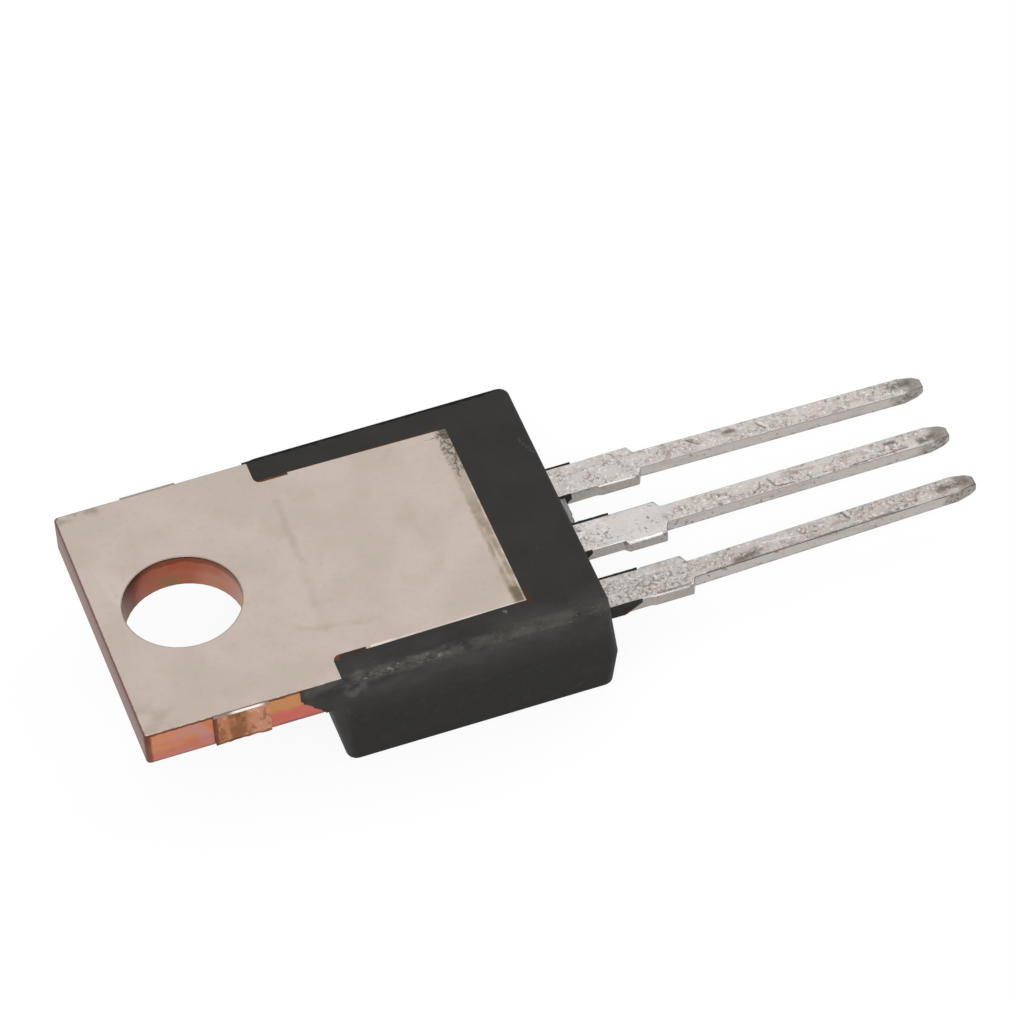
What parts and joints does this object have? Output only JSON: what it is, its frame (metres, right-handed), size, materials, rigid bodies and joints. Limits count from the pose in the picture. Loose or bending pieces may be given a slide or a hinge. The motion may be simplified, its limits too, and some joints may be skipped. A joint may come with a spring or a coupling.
{
  "type": "voltage regulator",
  "caption": "Power voltage regulator: black moulded body on a plated copper heat-sink tab with a screw hole, and a row of flat tinned solder leads.",
  "frame": {"origin": "centre of the screw hole on the back of the tab", "axes": "+X towards the lead tips, +Y towards the input lead, +Z out of the back of the tab; the part lies on the front face of its moulded body"},
  "size_m": [0.0283, 0.01, 0.0043],
  "materials": {
    "plated_copper": "satin nickel plate over copper, bare copper at the sheared edges",
    "tinned_copper": "mottled matt tin plate over copper",
    "solder": "dull solder",
    "silicon": "polished silicon",
    "bond_wire": "drawn aluminium wire",
    "moulded_resin": "matt black epoxy moulding compound"
  },
  "bodies": {
    "root": {"tab_and_centre_lead": "plated_copper", "input_lead": "tinned_copper", "output_lead": "tinned_copper", "die_solder": "solder", "silicon_die": "silicon", "input_wire": "bond_wire", "output_wire": "bond_wire", "ground_wire": "bond_wire", "moulded_body": "moulded_resin"}
  },
  "joints": []
}
